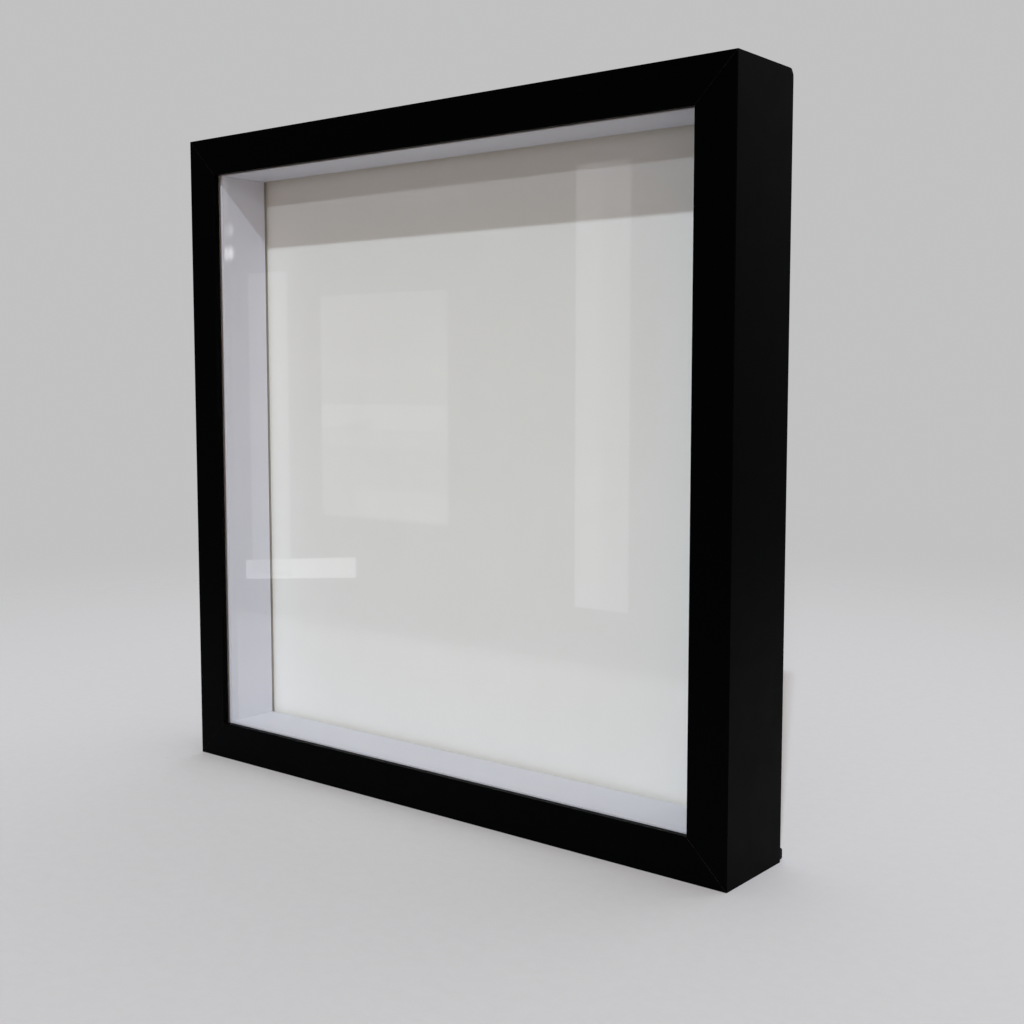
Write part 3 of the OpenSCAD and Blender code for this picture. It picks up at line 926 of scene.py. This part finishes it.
for side in ("left", "right"):
    axis = SWIVELS[f"ring_{side}"]
    path = strap_path(axis)
    foot = axis.z - STRAP_DROP
    shape = bmesh.new()
    rows = []
    for index, (depth, height) in enumerate(path):
        half = STRAP_HALF
        if index < FOOT_STEPS:
            below = foot + STRAP_HALF - height
            half = max(STRAP_NARROWEST, math.sqrt(max(0.0, STRAP_HALF ** 2 - below ** 2)))
        middle = STRAP_CELLS // 2
        rows.append([shape.verts.new((axis.x + half * (k - middle) / middle, depth, height))
                     for k in range(STRAP_CELLS + 1)])
    for row, following in zip(rows, rows[1:]):
        for k in range(STRAP_CELLS):
            face = shape.faces.new((row[k], row[k + 1], following[k + 1], following[k]))
            face.smooth = True
    sheet_mesh = bpy.data.meshes.new("sheet")
    shape.to_mesh(sheet_mesh)
    shape.free()
    sheet_mesh.materials.append(zinc)
    holder = scratch_object("strap", sheet_mesh)
    thick = holder.modifiers.new("sheet", "SOLIDIFY")
    thick.thickness, thick.offset = STRAP_THICK, 0.0
    worn = holder.modifiers.new("worn edges", "BEVEL")
    worn.width, worn.segments, worn.limit_method = STRAP_WORN, 2, "ANGLE"
    worn.angle_limit = STRAP_EDGE
    punched = bmesh.new()
    prism(punched, circle_points((axis.x, axis.z - HANGER_SCREW_DROP), PILOT_RADIUS,
                                 HOLE_SIDES),
          REAR - PAST, REAR + STRAP_THICK + PUNCH_PAST)
    bmesh.ops.recalc_face_normals(punched, faces=punched.faces)
    punch_mesh = bpy.data.meshes.new("punch")
    punched.to_mesh(punch_mesh)
    punched.free()
    punch = scratch_object("punch", punch_mesh)
    hole = holder.modifiers.new("hole", "BOOLEAN")
    hole.object, hole.operation, hole.solver = punch, "DIFFERENCE", "EXACT"
    mesh = baked_down(holder)
    bpy.data.objects.remove(punch)
    for face in mesh.polygons:
        face.use_smooth = True
    mesh.set_sharp_from_angle(angle=STRAP_CREASE)
    adopt(f"strap_{side}", mesh, (), "frame", "zinc_steel", f"hanger_strap_{side}")


# --- Hanger rings ------------------------------------------------------------------
# Wire bent into a D, its straight bar held in the strap's loop. At rest the ring hangs
# down round the screw's head; to hang the box it swings up.

RING_WIRE, RING_HALF, RING_BEND, RING_LEG = 0.8 * MM, 5.2 * MM, 1.2 * MM, 5.5 * MM
WIRE_SIDES, BEND_STEPS, LEG_STEPS, BOW_STEPS = 16, 6, 4, 28


def ring_path():
    """Points along the wire's middle, the bar at height 0, all the way round."""
    bar = RING_HALF - RING_BEND
    points = [Vector((bar * (k - 3) / 3, 0)) for k in range(7)]
    points += [Vector((bar + RING_BEND * math.sin(turn), -RING_BEND * (1 - math.cos(turn))))
               for turn in [math.pi / 2 * k / BEND_STEPS
                            for k in range(1, BEND_STEPS + 1)]]
    legs = [-RING_BEND - (RING_LEG - RING_BEND) * k / LEG_STEPS
            for k in range(1, LEG_STEPS)]
    points += [Vector((RING_HALF, height)) for height in legs]
    points += [Vector((RING_HALF * math.cos(turn), -RING_LEG - RING_HALF * math.sin(turn)))
               for turn in [math.pi * k / BOW_STEPS for k in range(BOW_STEPS + 1)]]
    points += [Vector((-RING_HALF, height)) for height in legs[::-1]]
    points += [Vector((-bar - RING_BEND * math.cos(turn),
                       -RING_BEND * (1 - math.sin(turn))))
               for turn in [math.pi / 2 * k / BEND_STEPS for k in range(BEND_STEPS)]]
    return points


for side in ("left", "right"):
    axis = SWIVELS[f"ring_{side}"]
    path = ring_path()
    shape = bmesh.new()
    loops = []
    for index, spot in enumerate(path):
        run = (path[(index + 1) % len(path)] - path[index - 1]).normalized()
        out = Vector((run.y, 0, -run.x))
        middle = axis + Vector((spot.x, 0, spot.y))
        loops.append([shape.verts.new(middle + RING_WIRE * (
            out * math.cos(math.tau * k / WIRE_SIDES)
            + Vector((0, 1, 0)) * math.sin(math.tau * k / WIRE_SIDES)))
            for k in range(WIRE_SIDES)])
    for index, loop in enumerate(loops):
        following = loops[(index + 1) % len(loops)]
        for k in range(WIRE_SIDES):
            after = (k + 1) % WIRE_SIDES
            face = shape.faces.new((loop[k], loop[after], following[after], following[k]))
            face.smooth = True
    bmesh.ops.recalc_face_normals(shape, faces=shape.faces)
    finish_piece(f"wire_ring_{side}", shape, [zinc], f"ring_{side}", "zinc_steel",
                 f"hanger_ring_{side}")


# --- Bumpers -----------------------------------------------------------------------
# Two soft black rubber pads stuck in the lower rear corners. They keep the box off the
# wall. Each is a small square with rounded corners and a rounded rim.

rubber, tree, shader = new_material("black rubber")
bloom, pits = grain(tree, 1.5 * MM, 4), grain(tree, 0.2 * MM, 3)
feed(tree, shader,
     Base_Color=blend_colours(tree, ranged(tree, bloom, 0.3, 0.7),
                              (0.0035, 0.0035, 0.004), (0.008, 0.008, 0.0085)),
     Roughness=ranged(tree, bloom, 0.3, 0.7, 0.55, 0.75),
     Normal=relief(tree, pits, 0.02 * MM), Specular_IOR_Level=0.12)

PAD_CORNER, PAD_RIM, PAD_FOOT = 1.0 * MM, 0.5 * MM, 0.15 * MM
CORNER_STEPS, RIM_STEPS = 6, 5


def pad_outline(half, radius):
    """Points round a square with rounded corners, as many for any size."""
    reach = half - radius
    corners = ((1, 1), (-1, 1), (-1, -1), (1, -1))
    return [(reach * x_side + radius * math.cos(turn),
             reach * z_side + radius * math.sin(turn))
            for quarter, (x_side, z_side) in enumerate(corners)
            for turn in [math.pi / 2 * (quarter + k / CORNER_STEPS)
                         for k in range(CORNER_STEPS + 1)]]


for side in ("left", "right"):
    low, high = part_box(f"bumper_{side}")
    centre = (low + high) / 2
    half, tall = (high.x - low.x) / 2, high.y - low.y
    profile = [(PAD_FOOT, 0.0), (0.0, PAD_FOOT), (0.0, tall - PAD_RIM)]
    profile += [(PAD_RIM * (1 - math.cos(turn)), tall - PAD_RIM * (1 - math.sin(turn)))
                for turn in [math.pi / 2 * k / RIM_STEPS for k in range(1, RIM_STEPS + 1)]]
    shape = bmesh.new()
    hoops = [[shape.verts.new((centre.x + x, low.y + depth, centre.z + z))
              for x, z in pad_outline(half - inset, PAD_CORNER - inset)]
             for inset, depth in profile]
    for hoop, following in zip(hoops, hoops[1:]):
        for k in range(len(hoop)):
            after = (k + 1) % len(hoop)
            face = shape.faces.new((hoop[k], hoop[after], following[after], following[k]))
            face.smooth = True
    shape.faces.new(hoops[0])
    shape.faces.new(hoops[-1])
    bmesh.ops.recalc_face_normals(shape, faces=shape.faces)
    finish_piece(f"pad_{side}", shape, [rubber], "frame", "black_rubber", f"bumper_{side}")
